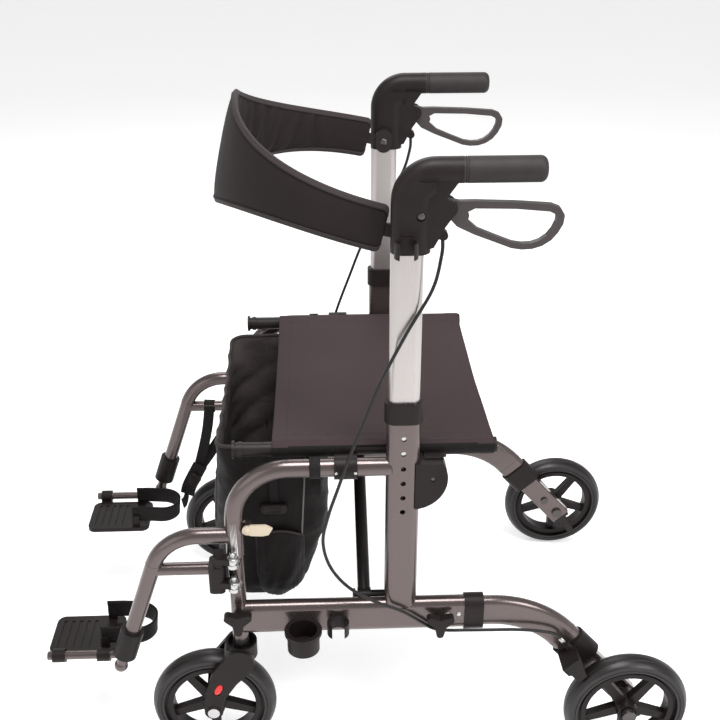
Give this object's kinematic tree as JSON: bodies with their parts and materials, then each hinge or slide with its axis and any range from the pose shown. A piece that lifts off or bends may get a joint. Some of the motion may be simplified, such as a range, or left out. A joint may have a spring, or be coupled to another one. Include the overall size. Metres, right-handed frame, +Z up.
{
  "type": "rollator transport chair",
  "caption": "Folding rollator that converts to a transport chair: sling seat, strap backrest, loop brakes, under-seat bag and swing-away footrests.",
  "frame": {"origin": "centre of the bounding box in X and Y, on the floor under the wheels", "axes": "+X forward towards the footplates, +Y to the chair's left, +Z up"},
  "size_m": [1.0386, 0.654, 1.0326],
  "materials": {
    "frame": "warm grey metallic enamel, satin",
    "tube": "brushed bright anodised",
    "steel": "plated hardware, satin",
    "moulding": "fine grained charcoal moulding",
    "lever": "mid grey moulding, slightly glossy",
    "grip": "soft ribbed dark rubber",
    "tyre": "soft black polyurethane",
    "brace": "black powder coat",
    "cloth": "woven grey-brown nylon",
    "black_cloth": "black woven nylon",
    "cable": "black cable sheath",
    "latch": "beige moulding"
  },
  "bodies": {
    "left_frame": {"side_frame_left": "frame", "frame_collars_left": "moulding", "frame_brackets_left": "moulding", "cane_holder_left": "moulding", "brake_cable_left": "cable", "bag": "black_cloth"},
    "right_frame": {"side_frame_right": "frame", "frame_collars_right": "moulding", "frame_brackets_right": "moulding", "brake_cable_right": "cable"},
    "cross_a": {"cross_frame_a": "brace", "seat": "cloth"},
    "cross_b": {"cross_frame_b": "brace"},
    "handle_left": {"handle_tube_left": "tube", "handle_housing_left": "moulding", "grip_left": "grip"},
    "button_left": {"height_button_left": "steel"},
    "lever_left": {"brake_lever_left": "lever"},
    "back_left": {"backrest_arm_left": "brace", "backrest": "black_cloth"},
    "caster_left": {"fork_left": "moulding", "caster_hardware_left": "steel"},
    "front_wheel_left": {"front_tyre_left": "tyre", "front_rim_left": "moulding"},
    "rear_leg_left": {"rear_leg_left": "frame", "rear_hardware_left": "steel", "brake_housing_left": "moulding", "tip_pedal_left": "brace"},
    "rear_wheel_left": {"rear_tyre_left": "tyre", "rear_rim_left": "moulding"},
    "front_knob_left": {"front_knob_left": "moulding"},
    "rear_knob_left": {"rear_knob_left": "moulding"},
    "footrest_left": {"footrest_hanger_left": "frame", "footrest_fittings_left": "moulding"},
    "footplate_left": {"footplate_left": "moulding", "heel_strap_left": "black_cloth"},
    "latch_left": {"footrest_latch_left": "latch"},
    "handle_right": {"handle_tube_right": "tube", "handle_housing_right": "moulding", "grip_right": "grip"},
    "button_right": {"height_button_right": "steel"},
    "lever_right": {"brake_lever_right": "lever"},
    "back_right": {"backrest_arm_right": "brace"},
    "caster_right": {"fork_right": "moulding", "caster_hardware_right": "steel"},
    "front_wheel_right": {"front_tyre_right": "tyre", "front_rim_right": "moulding"},
    "rear_leg_right": {"rear_leg_right": "frame", "rear_hardware_right": "steel", "brake_housing_right": "moulding", "tip_pedal_right": "brace"},
    "rear_wheel_right": {"rear_tyre_right": "tyre", "rear_rim_right": "moulding"},
    "front_knob_right": {"front_knob_right": "moulding"},
    "rear_knob_right": {"rear_knob_right": "moulding"},
    "footrest_right": {"footrest_hanger_right": "frame", "footrest_fittings_right": "moulding"},
    "footplate_right": {"footplate_right": "moulding", "heel_strap_right": "black_cloth"},
    "latch_right": {"footrest_latch_right": "latch"}
  },
  "joints": [
    {"name": "fold", "type": "hinge", "parent": "left_frame", "child": "cross_a", "pos_m": [-0.009, 0.226, 0.28], "axis": [-1, 0, 0], "range_deg": [0, 34], "deforming": ["seat", "bag", "backrest"]},
    {"name": "brace_cross", "type": "hinge", "parent": "cross_a", "child": "cross_b", "pos_m": [-0.009, 0, 0.4175], "axis": [-1, 0, 0], "range_deg": [-68, 0]},
    {"name": "fold_right", "type": "hinge", "parent": "cross_b", "child": "right_frame", "pos_m": [-0.009, -0.226, 0.28], "axis": [-1, 0, 0], "range_deg": [0, 34]},
    {"name": "handle_left_slide", "type": "slide", "parent": "left_frame", "child": "handle_left", "axis": [0, 0, 1], "range_m": [-0.1, 0], "deforming": ["brake_cable_left"]},
    {"name": "button_left_press", "type": "slide", "parent": "handle_left", "child": "button_left", "axis": [0, -1, 0], "range_m": [0, 0.003], "stiffness_N_per_m": 800},
    {"name": "lever_left_squeeze", "type": "hinge", "parent": "handle_left", "child": "lever_left", "pos_m": [-0.104, 0.258, 0.938], "axis": [0, 1, 0], "range_deg": [-15, 8], "stiffness_Nm_per_rad": 4},
    {"name": "backrest_left_flip", "type": "hinge", "parent": "handle_left", "child": "back_left", "pos_m": [-0.05, 0.258, 0.893], "axis": [0, -1, 0], "range_deg": [0, 158]},
    {"name": "caster_left_swivel", "type": "hinge", "parent": "left_frame", "child": "caster_left", "pos_m": [0.2, 0.258, 0.228], "axis": [0, 0, 1], "continuous": true},
    {"name": "front_wheel_left_spin", "type": "hinge", "parent": "caster_left", "child": "front_wheel_left", "pos_m": [0.248, 0.258, 0.1], "axis": [0, 1, 0], "continuous": true},
    {"name": "rear_leg_left_extend", "type": "slide", "parent": "left_frame", "child": "rear_leg_left", "axis": [-1, 0, 0], "range_m": [0, 0.05]},
    {"name": "rear_wheel_left_spin", "type": "hinge", "parent": "rear_leg_left", "child": "rear_wheel_left", "pos_m": [-0.4193, 0.298, 0.1], "axis": [0, 1, 0], "continuous": true},
    {"name": "front_knob_left_turn", "type": "hinge", "parent": "left_frame", "child": "front_knob_left", "pos_m": [0.2, 0.258, 0.284], "axis": [0, 1, 0], "range_deg": [-90, 90]},
    {"name": "rear_knob_left_turn", "type": "hinge", "parent": "left_frame", "child": "rear_knob_left", "pos_m": [-0.113, 0.258, 0.27], "axis": [0, 1, 0], "range_deg": [-90, 90]},
    {"name": "footrest_left_swing", "type": "hinge", "parent": "left_frame", "child": "footrest_left", "pos_m": [0.203, 0.281, 0.36], "axis": [0, 0, 1], "range_deg": [0, 90]},
    {"name": "footplate_left_flip", "type": "hinge", "parent": "footrest_left", "child": "footplate_left", "pos_m": [0.46, 0.232, 0.178], "axis": [-1, 0, 0], "range_deg": [0, 90], "deforming": ["heel_strap_left"]},
    {"name": "latch_left_turn", "type": "hinge", "parent": "left_frame", "child": "latch_left", "pos_m": [0.18, 0.258, 0.44], "axis": [0, 1, 0], "range_deg": [-25, 25], "stiffness_Nm_per_rad": 0.2},
    {"name": "handle_right_slide", "type": "slide", "parent": "right_frame", "child": "handle_right", "axis": [0, 0, 1], "range_m": [-0.1, 0], "deforming": ["brake_cable_right"]},
    {"name": "button_right_press", "type": "slide", "parent": "handle_right", "child": "button_right", "axis": [0, 1, 0], "range_m": [0, 0.003], "stiffness_N_per_m": 800},
    {"name": "lever_right_squeeze", "type": "hinge", "parent": "handle_right", "child": "lever_right", "pos_m": [-0.104, -0.258, 0.938], "axis": [0, 1, 0], "range_deg": [-15, 8], "stiffness_Nm_per_rad": 4},
    {"name": "backrest_right_flip", "type": "hinge", "parent": "handle_right", "child": "back_right", "pos_m": [-0.05, -0.258, 0.893], "axis": [0, -1, 0], "range_deg": [0, 158]},
    {"name": "caster_right_swivel", "type": "hinge", "parent": "right_frame", "child": "caster_right", "pos_m": [0.2, -0.258, 0.228], "axis": [0, 0, 1], "continuous": true},
    {"name": "front_wheel_right_spin", "type": "hinge", "parent": "caster_right", "child": "front_wheel_right", "pos_m": [0.248, -0.258, 0.1], "axis": [0, 1, 0], "continuous": true},
    {"name": "rear_leg_right_extend", "type": "slide", "parent": "right_frame", "child": "rear_leg_right", "axis": [-1, 0, 0], "range_m": [0, 0.05]},
    {"name": "rear_wheel_right_spin", "type": "hinge", "parent": "rear_leg_right", "child": "rear_wheel_right", "pos_m": [-0.4193, -0.298, 0.1], "axis": [0, 1, 0], "continuous": true},
    {"name": "front_knob_right_turn", "type": "hinge", "parent": "right_frame", "child": "front_knob_right", "pos_m": [0.2, -0.258, 0.284], "axis": [0, 1, 0], "range_deg": [-90, 90]},
    {"name": "rear_knob_right_turn", "type": "hinge", "parent": "right_frame", "child": "rear_knob_right", "pos_m": [-0.113, -0.258, 0.27], "axis": [0, 1, 0], "range_deg": [-90, 90]},
    {"name": "footrest_right_swing", "type": "hinge", "parent": "right_frame", "child": "footrest_right", "pos_m": [0.203, -0.281, 0.36], "axis": [0, 0, -1], "range_deg": [0, 90]},
    {"name": "footplate_right_flip", "type": "hinge", "parent": "footrest_right", "child": "footplate_right", "pos_m": [0.46, -0.232, 0.178], "axis": [1, 0, 0], "range_deg": [0, 90], "deforming": ["heel_strap_right"]},
    {"name": "latch_right_turn", "type": "hinge", "parent": "right_frame", "child": "latch_right", "pos_m": [0.18, -0.258, 0.44], "axis": [0, 1, 0], "range_deg": [-25, 25], "stiffness_Nm_per_rad": 0.2}
  ],
  "couplings": [
    {"joint": "brace_cross", "follows": "fold", "ratio": -2},
    {"joint": "fold_right", "follows": "fold", "ratio": 1},
    {"joint": "handle_right_slide", "follows": "handle_left_slide", "ratio": 1},
    {"joint": "backrest_right_flip", "follows": "backrest_left_flip", "ratio": 1}
  ]
}
